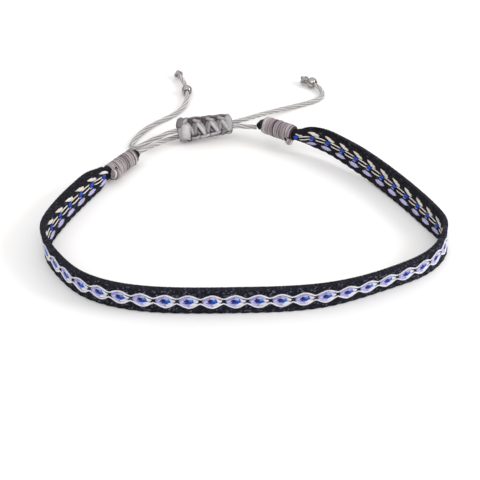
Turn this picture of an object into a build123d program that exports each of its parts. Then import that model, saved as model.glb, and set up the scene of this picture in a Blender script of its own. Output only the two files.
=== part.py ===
from build123d import *

import os
from math import acos, cos, pi, radians, sin, tan

# A woven friendship bracelet lying open on a table. The flat strap stands on its lower edge, its
# two ends are gathered and wound with cord, and a square-knotted slider holds the two sliding
# cords, each of which ends in a drilled bead and a stopper knot.
#
# Millimetres, Z up. The origin is on the table, under the middle of the strap, wraps and slider.
# The strap's front stretch faces -Y and the slider lies at the back, at +Y.

# Loop: outside of the strap from side to side, and strap front to slider back
loop_width = 80.7
loop_depth = 64.2

# Woven strap
strap_width = 6.0
strap_thickness = 1.0
strap_cupping = 8.0  # how far the free strap curves across its width, in degrees

# Strap ends, folded into a C inside the wraps
gathered_width = 3.3
gathered_thickness = 0.8
gathered_turn = 240.0

# Cords
cord_diameter = 1.1
cord_clearance = 0.1  # round the cord in the slider and the stopper knots

# Wraps: flat turns of cord round each gathered end, with a knot over the turn next to the strap
wrap_clearance = 0.12
wrap_turns = 9
wrap_turn_rise = 0.16
wrap_knot_thickness = 1.3
wrap_knot_edge = 0.6  # how far its round edge stands out from its flat middle

# Left wrap: heading from the strap to the tip, counted from +X, and slope up towards the tip
left_wrap_length = 7.8
left_wrap_wall = 0.45
left_wrap_height = 1.95
left_wrap_heading = 51.5
left_wrap_slope = 3.6
left_tip_length = 1.1
left_tip_heading = 51.5
left_tip_slope = 0.0
left_tip_taper = 0.9
left_knot_width = 2.2
left_knot_place = 0.6  # its middle, from the strap side of the wrap
left_knot_angle = -15.0  # below the horizontal, on the side of the loop's middle

# Right wrap
right_wrap_length = 7.4
right_wrap_wall = 0.63
right_wrap_height = 4.1
right_wrap_heading = 147.5
right_wrap_slope = 1.2
right_tip_length = 1.8
right_tip_heading = 168.0
right_tip_slope = -26.0
right_tip_taper = 0.7
right_knot_width = 1.5
right_knot_place = 0.75
right_knot_angle = 45.0

# Slider: four square knots round both cords, wider at its left end
slider_across = -0.113  # middle of the slider, as shares of loop_width and loop_depth
slider_back = 0.455
slider_height = 3.29
slider_heading = 7.4
slider_slope = 4.6
slider_lean = 36.0  # how far its flat face leans back from upright
slider_turns = 4
slider_turn_length = 3.1
slider_lobe_rise = 0.55
slider_left_width = 5.5
slider_right_width = 4.8
slider_thickness = 3.5
slider_strand_diameter = 1.3
slider_strand_rise = 0.15
slider_strand_tilt = 30.0
slider_roundness = 0.56  # half height of its rounded section, as a share of the left width

# Beads and stopper knots
bead_diameter = 2.6
bead_clearance = 0.2  # round the cord in a bead
stopper_diameter = 2.4
stopper_length = 2.2
stopper_socket_depth = 0.8
stopper_rounding = 0.55  # radius of its rounded ends

# The strap's middle line from the left wrap round the front to the right wrap:
# across, back: shares of loop_width and loop_depth from the middle
# lift: foot above the table, as a share of strap_width
# lean: outward at the top, degrees
# width, thickness: shares of the strap's own
# curl: how far the strap curves across its width, degrees
COLUMNS = ("across", "back", "lift", "lean", "width", "thickness", "curl")
STRAP_ROWS = [
    (-0.377, 0.169, 0.08, 13.0, 0.60, 0.95, 110.0),
    (-0.387, 0.140, 0.03, 11.0, 0.78, 1.0, 50.0),
    (-0.401, 0.105, 0.01, 9.0, 0.93, 1.0, 20.0),
    (-0.425, 0.044, 0.0, 9.0, 1.0, 1.0, strap_cupping),
    (-0.454, -0.036, 0.0, 10.0, 1.0, 1.0, strap_cupping),
    (-0.475, -0.108, 0.0, 9.5, 1.0, 1.0, strap_cupping),
    (-0.487, -0.174, 0.0, 6.5, 1.0, 1.0, strap_cupping),
    (-0.483, -0.229, 0.0, 3.5, 1.0, 1.0, strap_cupping),
    (-0.463, -0.287, 0.0, 2.5, 1.0, 1.0, strap_cupping),
    (-0.428, -0.354, 0.0, 3.0, 1.0, 1.0, strap_cupping),
    (-0.384, -0.415, 0.0, 4.5, 1.0, 1.0, strap_cupping),
    (-0.321, -0.461, 0.0, 5.5, 1.0, 1.0, strap_cupping),
    (-0.238, -0.489, 0.0, 5.5, 1.0, 1.0, strap_cupping),
    (-0.132, -0.499, 0.0, 5.5, 1.0, 1.0, strap_cupping),
    (-0.014, -0.497, 0.0, 5.5, 1.0, 1.0, strap_cupping),
    (0.098, -0.490, 0.0, 6.5, 1.0, 1.0, strap_cupping),
    (0.191, -0.470, 0.0, 9.5, 1.0, 1.0, strap_cupping),
    (0.273, -0.432, 0.0, 13.5, 1.0, 1.0, strap_cupping),
    (0.348, -0.385, 0.0, 13.0, 1.0, 1.0, strap_cupping),
    (0.416, -0.332, 0.0, 7.5, 1.0, 1.0, strap_cupping),
    (0.459, -0.271, 0.0, 0.0, 1.0, 1.0, strap_cupping),
    (0.480, -0.213, 0.0, -4.5, 1.0, 1.0, strap_cupping),
    (0.484, -0.161, 0.0, -2.5, 1.0, 1.0, strap_cupping),
    (0.468, -0.104, 0.0, 4.5, 1.0, 1.0, strap_cupping),
    (0.429, -0.005, 0.0, 8.5, 1.0, 1.0, strap_cupping),
    (0.380, 0.103, 0.01, 8.5, 1.0, 1.0, strap_cupping),
    (0.332, 0.188, 0.07, 6.5, 1.0, 1.0, strap_cupping),
    (0.292, 0.244, 0.15, 4.0, 1.0, 1.0, 10.0),
    (0.259, 0.287, 0.23, 2.5, 0.95, 1.0, 15.0),
    (0.228, 0.323, 0.30, 2.5, 0.91, 1.0, 30.0),
    (0.180, 0.360, 0.39, 4.5, 0.77, 0.95, 100.0),
]

# Where the strap enters each wrap, as shares of loop_width and loop_depth
left_mouth_across = -0.362
left_mouth_back = 0.191
right_mouth_across = 0.133
right_mouth_back = 0.385

# Routes of the cords, from the wrap through the slider and along the table to the stopper knot.
# The run that goes through the slider has the index given below its route.
RIGHT_CORD_ROUTE = [
    (-23.57, 19.4, 2.47),
    (-21.75, 21.6, 2.45),
    (-19.95, 24.15, 1.8),
    (-17.9, 27.0, 1.15),
    (-16.1, 28.1, 1.17),
    (-1.45, 31.05, 3.8),
    (1.2, 33.0, 3.5),
    (3.95, 36.75, 2.3),
    (7.45, 40.55, 1.1),
    (12.15, 43.55, 0.62),
    (16.4, 45.75, 0.6),
    (18.6, 47.9, 0.62),
    (18.75, 49.9, 0.8),
    (18.0, 52.0, 1.05),
    (16.4, 53.75, 1.3),
    (14.75, 55.1, 1.25),
]
RIGHT_SLIDER_RUN = 4
RIGHT_BEAD_POINT = 14

LEFT_CORD_ROUTE = [
    (2.58, 29.12, 3.33),
    (0.85, 29.1, 3.4),
    (-2.1, 29.15, 3.75),
    (-16.45, 27.75, 3.2),
    (-18.35, 26.25, 2.85),
    (-21.55, 25.2, 1.95),
    (-23.7, 24.3, 1.0),
    (-25.0, 24.5, 0.65),
    (-25.7, 25.45, 0.6),
    (-25.35, 26.9, 0.6),
    (-24.4, 29.9, 0.6),
    (-22.55, 33.25, 0.6),
    (-19.8, 36.3, 0.6),
    (-16.3, 39.55, 0.6),
    (-14.3, 43.15, 0.7),
    (-13.65, 46.75, 1.05),
    (-13.95, 49.85, 1.3),
    (-14.65, 54.05, 1.0),
    (-16.2, 57.95, 1.2),
]
LEFT_SLIDER_RUN = 2
LEFT_BEAD_POINT = 16


def heading_vector(heading, slope):
    """Unit vector with a heading counted from +X and a slope above the table, in degrees."""
    flat = cos(radians(slope))
    return Vector(flat * cos(radians(heading)), flat * sin(radians(heading)), sin(radians(slope)))


def gathered_radius():
    """Outer radius of a strap end that is folded into a C."""
    return gathered_width / radians(gathered_turn) + gathered_thickness / 2


def strap_section(plane, width, thickness, curl):
    """The strap's section: X up the strap, Y away from the loop's middle.

    The face towards the middle is the convex one. Both faces are two arcs each."""
    half = radians(curl) / 2
    middle_radius = width / (2 * half)
    centre = middle_radius * max(0.0, cos(half))
    faces = []
    for radius in (middle_radius + thickness / 2, middle_radius - thickness / 2):
        points = [
            (radius * sin(half * share), centre - radius * cos(half * share))
            for share in (-1, -0.5, 0, 0.5, 1)
        ]
        faces.append(points)
    inner, outer = faces
    with BuildSketch(plane) as section:
        with BuildLine():
            ThreePointArc(inner[0], inner[1], inner[2])
            ThreePointArc(inner[2], inner[3], inner[4])
            Line(inner[4], outer[4])
            ThreePointArc(outer[4], outer[3], outer[2])
            ThreePointArc(outer[2], outer[1], outer[0])
            Line(outer[0], inner[0])
        make_face()
    return section.sketch


def gathered_stations(mouth, along, wrap_length, tip_along, tip_length, tip_taper):
    """Stations of a gathered end from the wrap's mouth to the strap's tip, with their tangents."""
    stations = [(mouth + along * (wrap_length * share), along, 1.0) for share in (0, 1 / 3, 2 / 3, 1)]
    tip = stations[-1][0] + tip_along * tip_length
    stations.append((tip, (along + tip_along).normalized(), tip_taper))
    return stations


def strap_stations():
    """Every section of the strap as (plane, width, thickness, curl), from tip to tip."""
    rows = [dict(zip(COLUMNS, row)) for row in STRAP_ROWS]
    places = [(row["across"] * loop_width, row["back"] * loop_depth) for row in rows]
    flat_line = [(left_mouth.X, left_mouth.Y)] + places + [(right_mouth.X, right_mouth.Y)]
    sections = []
    for place, along, share in reversed(left_gathered):
        sections.append((gathered_plane(place, along * -1), share * gathered_width,
                         share * gathered_thickness, gathered_turn))
    for number, row in enumerate(rows):
        before, after = flat_line[number], flat_line[number + 2]
        along = Vector(after[0] - before[0], after[1] - before[1]).normalized()
        outward = Vector(along.Y, -along.X)
        lean = radians(row["lean"])
        width = row["width"] * strap_width
        thickness = row["thickness"] * strap_thickness
        height = row["lift"] * strap_width + (width * cos(lean) + thickness * abs(sin(lean))) / 2
        up = outward * sin(lean) + Vector(0, 0, cos(lean))
        plane = Plane(origin=(*places[number], height), x_dir=up, z_dir=along)
        sections.append((plane, width, thickness, row["curl"]))
    for place, along, share in right_gathered:
        sections.append((gathered_plane(place, along), share * gathered_width,
                         share * gathered_thickness, gathered_turn))
    return sections


def gathered_plane(place, along):
    """Plane of a gathered section: its X points up the strap, square to the tangent."""
    up = Vector(0, 0, 1) - along * along.Z
    return Plane(origin=place, x_dir=up.normalized(), z_dir=along)


def wrap_plane(mouth, along):
    """Plane through a wrap's axis: X along the axis from the mouth, Y level."""
    level = Vector(-along.Y, along.X).normalized()
    return Plane(origin=mouth, x_dir=along, z_dir=along.cross(level))


def make_wrap_knot(middle, outward, across, width):
    """The knot on a wrap: a button with a round edge, flat on the turns below it."""
    half = wrap_knot_thickness / 2
    flat = width / 2 - wrap_knot_edge
    with BuildPart() as knot:
        with BuildSketch(Plane(origin=middle, x_dir=across, z_dir=across.cross(outward))):
            with BuildLine():
                Line((0, -half), (flat, -half))
                ThreePointArc((flat, -half), (width / 2, 0), (flat, half))
                Line((flat, half), (0, half))
                Line((0, half), (0, -half))
            make_face()
        revolve(axis=Axis(middle, outward))
    return knot


def make_sleeve(plane, length, bore, root):
    """Turns of flat cord side by side, bored for the gathered strap."""
    pitch = length / wrap_turns
    with BuildPart() as sleeve:
        with BuildSketch(plane):
            with BuildLine():
                Line((0, root), (0, bore))
                Line((0, bore), (length, bore))
                Line((length, bore), (length, root))
                for turn in range(wrap_turns, 0, -1):
                    ThreePointArc(
                        (turn * pitch, root),
                        ((turn - 0.5) * pitch, root + wrap_turn_rise),
                        ((turn - 1) * pitch, root),
                    )
            make_face()
        revolve(axis=Axis(plane.origin, plane.x_dir))
    return sleeve


def make_wrap(plane, length, wall, knot_side, knot_place, knot_width):
    """A wound sleeve with its knot."""
    bore = gathered_radius() + wrap_clearance
    sleeve = make_sleeve(plane, length, bore, bore + wall - wrap_turn_rise)
    middle = (plane.origin + plane.x_dir * knot_place
              + knot_side * (bore + wrap_clearance + wrap_knot_thickness / 2))
    knot = make_wrap_knot(middle, knot_side, plane.x_dir, knot_width)
    with BuildPart() as wrap:
        add(sleeve.part)
        add(knot.part)
    return wrap


def route_length(route):
    """Length of the straight runs of a route, added up."""
    return sum((Vector(*b) - Vector(*a)).length for a, b in zip(route, route[1:]))


def route_radii(route):
    """Radius at each corner: as large as the two runs beside it allow."""
    radii = []
    for before, corner, after in zip(route, route[1:], route[2:]):
        run_in = Vector(*corner) - Vector(*before)
        run_out = Vector(*after) - Vector(*corner)
        half_turn = radians(run_in.get_angle(run_out)) / 2
        radii.append(0.45 * min(run_in.length, run_out.length) / tan(half_turn))
    return radii


def make_cord(route):
    """A round tube along straight runs and tangent arcs, and the length of its line."""
    start = Vector(*route[0])
    with BuildPart() as cord:
        with BuildLine() as line:
            FilletPolyline(*route, radius=route_radii(route))
        with BuildSketch(Plane(origin=start, z_dir=Vector(*route[1]) - start)):
            Circle(cord_diameter / 2)
        sweep(path=line.wires()[0])
    return cord, line.wires()[0].length


def channel_plane(route, run):
    """Plane square to one run of a route, at the run's middle."""
    start, end = Vector(*route[run]), Vector(*route[run + 1])
    return Plane(origin=(start + end) * 0.5, z_dir=end - start)


def bead_plane(route, point):
    """Plane at a point of a route, square to the line between the points beside it."""
    return Plane(origin=route[point], z_dir=Vector(*route[point + 1]) - Vector(*route[point - 1]))


def stopper_plane(route):
    """Plane at the end of a route, looking along its last run."""
    return Plane(origin=route[-1], z_dir=Vector(*route[-1]) - Vector(*route[-2]))


def make_bead(plane):
    """A ball drilled for the cord."""
    with BuildPart(plane) as bead:
        Sphere(bead_diameter / 2)
        Hole(cord_diameter / 2 + bead_clearance)
    return bead


def make_stopper(plane):
    """A rounded knot whose socket holds the end of the cord face to face."""
    back, front = -stopper_socket_depth, stopper_length - stopper_socket_depth
    radius = stopper_diameter / 2
    mouth = cord_diameter / 2 + cord_clearance
    rim = mouth + cord_clearance
    angle = acos(1 - (radius - rim) / stopper_rounding)
    half_run, run = stopper_rounding * sin(angle / 2), stopper_rounding * sin(angle)
    shoulder = radius - stopper_rounding * (1 - cos(angle / 2))
    with BuildPart() as stopper:
        with BuildSketch(Plane(origin=plane.origin, x_dir=plane.z_dir, z_dir=plane.x_dir)):
            with BuildLine():
                Line((0, 0), (0, mouth))
                Line((0, mouth), (back, mouth))
                Line((back, mouth), (back, rim))
                ThreePointArc((back, rim), (back + run - half_run, shoulder), (back + run, radius))
                Line((back + run, radius), (front - run, radius))
                ThreePointArc((front - run, radius), (front - run + half_run, shoulder), (front, rim))
                Line((front, rim), (front, 0))
                Line((front, 0), (0, 0))
            make_face()
        revolve(axis=Axis(plane.origin, plane.z_dir))
    return stopper


def slider_half_width(place):
    """Half the slider's width over its lobes, at a place along it from its middle."""
    share = place / (slider_turns * slider_turn_length) + 0.5
    return (slider_left_width * (1 - share) + slider_right_width * share) / 2


left_mouth = Vector(left_mouth_across * loop_width, left_mouth_back * loop_depth, left_wrap_height)
left_along = heading_vector(left_wrap_heading, left_wrap_slope)
left_gathered = gathered_stations(left_mouth, left_along, left_wrap_length,
                                  heading_vector(left_tip_heading, left_tip_slope),
                                  left_tip_length, left_tip_taper)
right_mouth = Vector(right_mouth_across * loop_width, right_mouth_back * loop_depth, right_wrap_height)
right_along = heading_vector(right_wrap_heading, right_wrap_slope)
right_gathered = gathered_stations(right_mouth, right_along, right_wrap_length,
                                   heading_vector(right_tip_heading, right_tip_slope),
                                   right_tip_length, right_tip_taper)

# Woven strap
with BuildPart() as woven_strap:
    loft([strap_section(*station) for station in strap_stations()])
woven_strap.part.label = "woven_strap"

# Wraps
left_wrap_plane = wrap_plane(left_mouth, left_along)
left_knot_side = (left_wrap_plane.y_dir * -cos(radians(left_knot_angle))
                  - left_wrap_plane.z_dir * sin(radians(left_knot_angle)))
left_wrap = make_wrap(left_wrap_plane, left_wrap_length, left_wrap_wall, left_knot_side,
                      left_knot_place, left_knot_width)
left_wrap.part.label = "left_wrap"

right_wrap_plane = wrap_plane(right_mouth, right_along)
right_knot_side = (right_wrap_plane.y_dir * cos(radians(right_knot_angle))
                   - right_wrap_plane.z_dir * sin(radians(right_knot_angle)))
right_wrap = make_wrap(right_wrap_plane, right_wrap_length, right_wrap_wall, right_knot_side,
                       right_knot_place, right_knot_width)
right_wrap.part.label = "right_wrap"

# Slider
slider_along = heading_vector(slider_heading, slider_slope)
slider_side = Vector(-slider_along.Y, slider_along.X).normalized()
slider_up = slider_along.cross(slider_side)
slider_wide = slider_side * sin(radians(slider_lean)) + slider_up * cos(radians(slider_lean))
slider_plane = Plane(
    origin=(slider_across * loop_width, slider_back * loop_depth, slider_height),
    x_dir=slider_along,
    z_dir=slider_along.cross(slider_wide),
)
slider_length = slider_turns * slider_turn_length
slider_gaps = [turn * slider_turn_length - slider_length / 2 for turn in range(slider_turns + 1)]
strand_radius = slider_strand_diameter / 2
strand_height = slider_thickness / 2 + slider_strand_rise - strand_radius
with BuildPart(slider_plane) as sliding_knot:
    with BuildSketch(slider_plane):
        with BuildLine():
            for side in (1, -1):
                edge = [
                    (place, side * (slider_half_width(place) - slider_lobe_rise))
                    for place in slider_gaps
                ]
                for start, end in zip(edge, edge[1:]):
                    middle = (start[0] + end[0]) / 2
                    ThreePointArc(start, (middle, side * slider_half_width(middle)), end)
            for place in (slider_gaps[0], slider_gaps[-1]):
                half_end = slider_half_width(place) - slider_lobe_rise
                Line((place, half_end), (place, -half_end))
        make_face()
    extrude(amount=slider_thickness / 2, both=True)
    left_end = slider_plane.origin - slider_along * (slider_length / 2)
    with BuildSketch(Plane(origin=left_end, x_dir=slider_wide, z_dir=slider_along)):
        Ellipse(slider_left_width * slider_roundness, slider_thickness / 2)
    extrude(amount=slider_length, mode=Mode.INTERSECT)
    for turn in range(slider_turns):
        place = (turn + 0.5) * slider_turn_length - slider_length / 2
        strand_length = 2 * (slider_half_width(place) - slider_lobe_rise - strand_radius)
        with Locations((place, 0, strand_height), (place, 0, -strand_height)):
            Cylinder(strand_radius, strand_length, rotation=(90, slider_strand_tilt, 0))
    for route, run in ((RIGHT_CORD_ROUTE, RIGHT_SLIDER_RUN), (LEFT_CORD_ROUTE, LEFT_SLIDER_RUN)):
        with BuildSketch(channel_plane(route, run)):
            Circle(cord_diameter / 2 + cord_clearance)
        extrude(amount=slider_length, both=True, mode=Mode.SUBTRACT)
sliding_knot.part.label = "sliding_knot"

# Cords
right_cord, right_cord_length = make_cord(RIGHT_CORD_ROUTE)
right_cord.part.label = "right_cord"
left_cord, left_cord_length = make_cord(LEFT_CORD_ROUTE)
left_cord.part.label = "left_cord"

# Beads and stopper knots
right_bead = make_bead(bead_plane(RIGHT_CORD_ROUTE, RIGHT_BEAD_POINT))
right_bead.part.label = "right_bead"
left_bead = make_bead(bead_plane(LEFT_CORD_ROUTE, LEFT_BEAD_POINT))
left_bead.part.label = "left_bead"
right_end_knot = make_stopper(stopper_plane(RIGHT_CORD_ROUTE))
right_end_knot.part.label = "right_end_knot"
left_end_knot = make_stopper(stopper_plane(LEFT_CORD_ROUTE))
left_end_knot.part.label = "left_end_knot"

cord_section = pi * (cord_diameter / 2) ** 2
for name, piece, route, length in (("right_cord", right_cord, RIGHT_CORD_ROUTE, right_cord_length),
                                   ("left_cord", left_cord, LEFT_CORD_ROUTE, left_cord_length)):
    print(name, "length", round(length, 1), "runs", round(route_length(route), 1))
    print(name, "radii", [round(radius, 1) for radius in route_radii(route)])
    print(name, "volume", round(piece.part.volume, 2), "section x length",
          round(cord_section * length, 2))

os.makedirs("parts", exist_ok=True)
for piece in (woven_strap, left_wrap, right_wrap, sliding_knot, left_cord, right_cord,
              left_bead, right_bead, left_end_knot, right_end_knot):
    export_step(piece.part, f"parts/{piece.part.label}.step")
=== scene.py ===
import math

import bpy
import numpy as np
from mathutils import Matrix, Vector


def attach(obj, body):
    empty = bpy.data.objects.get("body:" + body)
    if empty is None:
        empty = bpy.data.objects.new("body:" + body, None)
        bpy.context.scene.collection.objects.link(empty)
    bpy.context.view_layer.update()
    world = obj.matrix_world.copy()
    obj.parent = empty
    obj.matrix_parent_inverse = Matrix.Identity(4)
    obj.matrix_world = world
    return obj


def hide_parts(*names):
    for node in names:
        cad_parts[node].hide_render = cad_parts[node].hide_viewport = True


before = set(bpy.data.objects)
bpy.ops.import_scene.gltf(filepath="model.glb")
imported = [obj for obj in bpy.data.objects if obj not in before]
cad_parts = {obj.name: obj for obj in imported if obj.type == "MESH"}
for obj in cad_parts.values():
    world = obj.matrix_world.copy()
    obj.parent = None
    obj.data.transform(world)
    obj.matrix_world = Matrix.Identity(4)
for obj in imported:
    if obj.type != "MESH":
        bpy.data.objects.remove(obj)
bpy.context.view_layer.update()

# The bracelet's looks: its weave, wound ends, slider, cords, beads and stopper knots, on a pale table.
# Lengths are in millimetres and turn into metres where a mesh, lamp or camera is made.

MM = 0.001
chance = np.random.default_rng(7)
NO_CORNER = -10 ** 9  # fourth corner of a triangle, below 0 whatever is added to it

# ---- Sizes and tables that the solids have too ----
loop_width = 80.7
loop_depth = 64.2
strap_width = 6.0
strap_thickness = 1.0
strap_cupping = 8.0
gathered_width = 3.3
gathered_thickness = 0.8
gathered_turn = 240.0
cord_diameter = 1.1
wrap_clearance = 0.12
wrap_turns = 9

# across, back: shares of loop_width and loop_depth; lift: share of strap_width; lean: degrees
# width, thickness: shares of the strap's own; curl: degrees
PLAIN = (1.0, 1.0, strap_cupping)
STRAP_ROWS = [
    (-0.377, 0.169, 0.08, 13.0, 0.60, 0.95, 110.0),
    (-0.387, 0.140, 0.03, 11.0, 0.78, 1.0, 50.0),
    (-0.401, 0.105, 0.01, 9.0, 0.93, 1.0, 20.0),
    (-0.425, 0.044, 0.0, 9.0, *PLAIN),
    (-0.454, -0.036, 0.0, 10.0, *PLAIN),
    (-0.475, -0.108, 0.0, 9.5, *PLAIN),
    (-0.487, -0.174, 0.0, 6.5, *PLAIN),
    (-0.483, -0.229, 0.0, 3.5, *PLAIN),
    (-0.463, -0.287, 0.0, 2.5, *PLAIN),
    (-0.428, -0.354, 0.0, 3.0, *PLAIN),
    (-0.384, -0.415, 0.0, 4.5, *PLAIN),
    (-0.321, -0.461, 0.0, 5.5, *PLAIN),
    (-0.238, -0.489, 0.0, 5.5, *PLAIN),
    (-0.132, -0.499, 0.0, 5.5, *PLAIN),
    (-0.014, -0.497, 0.0, 5.5, *PLAIN),
    (0.098, -0.490, 0.0, 6.5, *PLAIN),
    (0.191, -0.470, 0.0, 9.5, *PLAIN),
    (0.273, -0.432, 0.0, 13.5, *PLAIN),
    (0.348, -0.385, 0.0, 13.0, *PLAIN),
    (0.416, -0.332, 0.0, 7.5, *PLAIN),
    (0.459, -0.271, 0.0, 0.0, *PLAIN),
    (0.480, -0.213, 0.0, -4.5, *PLAIN),
    (0.484, -0.161, 0.0, -2.5, *PLAIN),
    (0.468, -0.104, 0.0, 4.5, *PLAIN),
    (0.429, -0.005, 0.0, 8.5, *PLAIN),
    (0.380, 0.103, 0.01, 8.5, *PLAIN),
    (0.332, 0.188, 0.07, 6.5, *PLAIN),
    (0.292, 0.244, 0.15, 4.0, 1.0, 1.0, 10.0),
    (0.259, 0.287, 0.23, 2.5, 0.95, 1.0, 15.0),
    (0.228, 0.323, 0.30, 2.5, 0.91, 1.0, 30.0),
    (0.180, 0.360, 0.39, 4.5, 0.77, 0.95, 100.0),
]

# Each wound end: where the strap enters, heading and slope of the wrap, its length and wall, then the
# strap's tip: length, heading, slope and taper
WRAP_COLUMNS = ("mouth", "heading", "slope", "length", "wall",
                "tip_length", "tip_heading", "tip_slope", "tip_taper")
LEFT_WRAP = dict(zip(WRAP_COLUMNS, ((-0.362 * loop_width, 0.191 * loop_depth, 1.95), 51.5, 3.6, 7.8, 0.45,
                                    1.1, 51.5, 0.0, 0.9)))
RIGHT_WRAP = dict(zip(WRAP_COLUMNS, ((0.133 * loop_width, 0.385 * loop_depth, 4.1), 147.5, 1.2, 7.4, 0.63,
                                     1.8, 168.0, -26.0, 0.7)))

RIGHT_CORD_ROUTE = [
    (-23.57, 19.4, 2.47), (-21.75, 21.6, 2.45), (-19.95, 24.15, 1.8), (-17.9, 27.0, 1.15),
    (-16.1, 28.1, 1.17), (-1.45, 31.05, 3.8), (1.2, 33.0, 3.5), (3.95, 36.75, 2.3),
    (7.45, 40.55, 1.1), (12.15, 43.55, 0.62), (16.4, 45.75, 0.6), (18.6, 47.9, 0.62),
    (18.75, 49.9, 0.8), (18.0, 52.0, 1.05), (16.4, 53.75, 1.3), (14.75, 55.1, 1.25),
]
RIGHT_BEAD_POINT = 14
LEFT_CORD_ROUTE = [
    (2.58, 29.12, 3.33), (0.85, 29.1, 3.4), (-2.1, 29.15, 3.75), (-16.45, 27.75, 3.2),
    (-18.35, 26.25, 2.85), (-21.55, 25.2, 1.95), (-23.7, 24.3, 1.0), (-25.0, 24.5, 0.65),
    (-25.7, 25.45, 0.6), (-25.35, 26.9, 0.6), (-24.4, 29.9, 0.6), (-22.55, 33.25, 0.6),
    (-19.8, 36.3, 0.6), (-16.3, 39.55, 0.6), (-14.3, 43.15, 0.7), (-13.65, 46.75, 1.05),
    (-13.95, 49.85, 1.3), (-14.65, 54.05, 1.0), (-16.2, 57.95, 1.2),
]
LEFT_BEAD_POINT = 16


# ---- Small helpers ----
def unit(vectors):
    """Vectors of length one, for one vector or rows of them."""
    vectors = np.asarray(vectors, float)
    return vectors / np.maximum(np.linalg.norm(vectors, axis=-1, keepdims=True), 1e-12)


def heading_vector(heading, slope):
    flat = math.cos(math.radians(slope))
    return np.array((flat * math.cos(math.radians(heading)), flat * math.sin(math.radians(heading)),
                     math.sin(math.radians(slope))))


def reach_along(points):
    """Length along a line, up to each of its points."""
    return np.concatenate([[0], np.cumsum(np.linalg.norm(np.diff(points, axis=0), axis=1))])


def carried_normals(along):
    """A direction across a line at each of its points, carried along it without twist."""
    reference = np.array((0.0, 0.0, 1.0))
    if abs(along[0] @ reference) > 0.9:
        reference = np.array((1.0, 0.0, 0.0))
    normals = np.empty_like(along)
    for i, direction in enumerate(along):
        reference = unit(reference - direction * (direction @ reference))
        normals[i] = reference
    return normals


def axes_along(start, end):
    """The direction from one point to another, and two directions across it."""
    axis = unit(np.subtract(end, start))
    side = unit(np.cross(axis, (0.0, 0.0, 1.0)))
    return axis, side, np.cross(axis, side)


def cubic_through(knots, values):
    """Natural cubic spline through rows of values; returns a function of places along the knots."""
    knots = np.asarray(knots, float)
    values = np.asarray(values, float)
    step = np.diff(knots)
    count = len(knots)
    system = np.eye(count)
    right = np.zeros_like(values)
    for i in range(1, count - 1):
        system[i, i - 1:i + 2] = step[i - 1], 2 * (step[i - 1] + step[i]), step[i]
        right[i] = 6 * ((values[i + 1] - values[i]) / step[i] - (values[i] - values[i - 1]) / step[i - 1])
    bend = np.linalg.solve(system, right)

    def at(places):
        places = np.asarray(places, float)
        i = np.clip(np.searchsorted(knots, places) - 1, 0, count - 2)
        before = (places - knots[i])[:, None]
        after = (knots[i + 1] - places)[:, None]
        h = step[i][:, None]
        return (bend[i] * after ** 3 / (6 * h) + bend[i + 1] * before ** 3 / (6 * h)
                + (values[i] / h - bend[i] * h / 6) * after
                + (values[i + 1] / h - bend[i + 1] * h / 6) * before)
    return at


def smooth(points, count):
    """A smooth line of so many points through a few chosen ones."""
    points = np.asarray(points, float)
    knots = reach_along(points)
    return cubic_through(knots, points)(np.linspace(0, knots[-1], count))


class Batch:
    """Vertices, faces, thread colours and thread coordinates of one piece, in millimetres."""

    def __init__(self):
        self.verts, self.faces, self.tints, self.threads = [], [], [], []
        self.count = 0

    def add(self, verts, faces, tint, thread):
        verts = np.asarray(verts, float)
        self.verts.append(verts)
        self.faces.extend((np.asarray(faces) + self.count).tolist())
        self.tints.append(np.broadcast_to(np.asarray(tint, float), (len(verts), 3)))
        self.threads.append(np.broadcast_to(np.asarray(thread, float), (len(verts), 3)))
        self.count += len(verts)

    def piece(self, name, material, slot, *replaced):
        """The mesh object of all that was added, riding on the one body."""
        mesh = bpy.data.meshes.new(name)
        verts = np.concatenate(self.verts) * MM
        mesh.from_pydata(verts.tolist(), [], [[i for i in face if i >= 0] for face in self.faces])
        tint = mesh.attributes.new("tint", "FLOAT_COLOR", "POINT")
        tints = np.concatenate(self.tints)
        tint.data.foreach_set("color", np.column_stack([tints, np.ones(len(tints))]).ravel())
        thread = mesh.attributes.new("thread", "FLOAT_VECTOR", "POINT")
        thread.data.foreach_set("vector", np.concatenate(self.threads).ravel())
        mesh.polygons.foreach_set("use_smooth", np.ones(len(mesh.polygons), bool))
        mesh.materials.append(material)
        mesh.update()
        made = bpy.data.objects.new(name, mesh)
        bpy.context.collection.objects.link(made)
        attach(made, "root")
        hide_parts(*replaced)
        return made


def ring_faces(rings, sides):
    """Quads between rings of so many points, and a fan of triangles on each end point."""
    i = np.arange(rings - 1)[:, None] * sides
    j = np.arange(sides)[None]
    following = (j + 1) % sides
    quads = np.stack([i + j, i + following, i + sides + following, i + sides + j], -1).reshape(-1, 4)
    j = np.arange(sides)
    following = (j + 1) % sides
    start = np.full(sides, rings * sides)
    first = np.stack([start, following, j, np.full(sides, NO_CORNER)], -1)
    end = np.full(sides, rings * sides + 1)
    last = (rings - 1) * sides
    final = np.stack([end, last + j, last + following, np.full(sides, NO_CORNER)], -1)
    return np.concatenate([quads, first, final])


def closed_ring_faces(rings, sides):
    """Quads between rings of so many points, with the last ring joined to the first."""
    j = np.arange(sides)
    following = (j + 1) % sides
    starts = [(k * sides, (k + 1) % rings * sides) for k in range(rings)]
    return np.concatenate([np.stack([here + j, here + following, there + following, there + j], -1)
                           for here, there in starts])


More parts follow.
